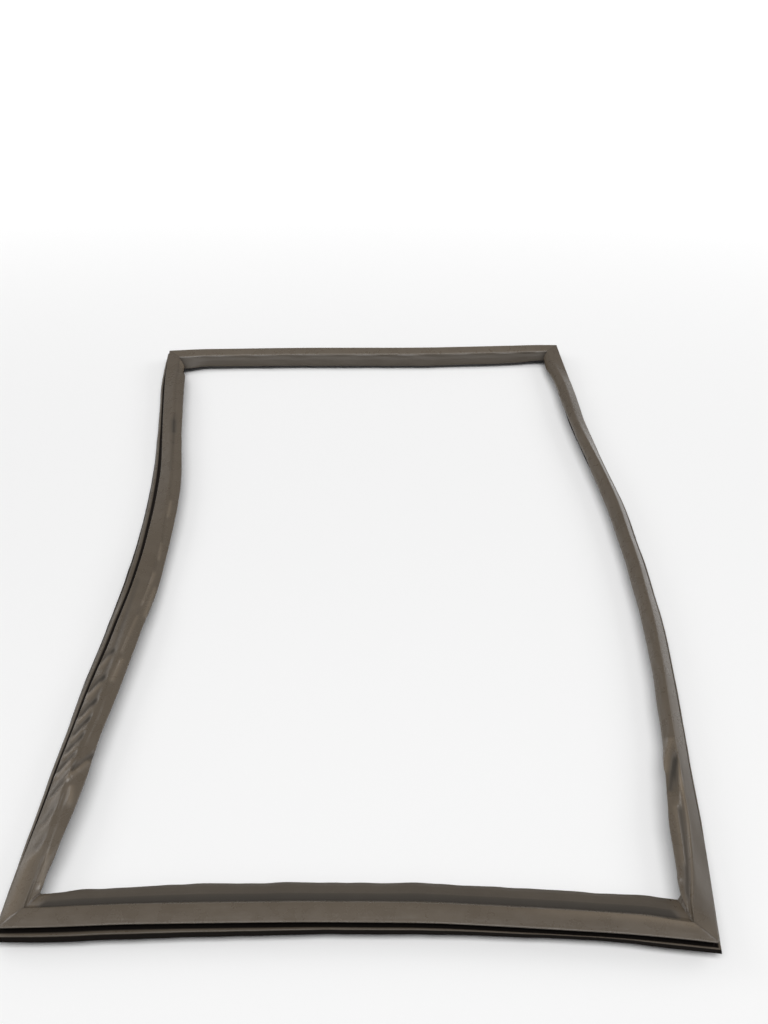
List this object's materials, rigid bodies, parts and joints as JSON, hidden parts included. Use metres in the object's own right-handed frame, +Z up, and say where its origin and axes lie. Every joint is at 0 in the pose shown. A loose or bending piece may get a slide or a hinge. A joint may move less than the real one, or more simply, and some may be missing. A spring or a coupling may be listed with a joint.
{
  "type": "refrigerator door gasket",
  "caption": "Rectangular flexible door gasket: mitre-welded hollow profile with flat sealing face, soft inner wing, rounded base lip, push-in dart and magnet strips inside.",
  "frame": {"origin": "centre of the footprint, on the surface the gasket lies on (dart tips)", "axes": "+Z up out of the sealing face, +Y along the two long sides, +X along the two short sides"},
  "size_m": [0.5656, 0.8048, 0.0274],
  "materials": {
    "pvc": "semi-gloss soft plasticised vinyl",
    "magnet": "matt ferrite-filled rubber"
  },
  "bodies": {
    "root": {"gasket_frame": "pvc", "magnet_strip_near": "magnet", "magnet_strip_right": "magnet", "magnet_strip_far": "magnet", "magnet_strip_left": "magnet"}
  },
  "joints": []
}
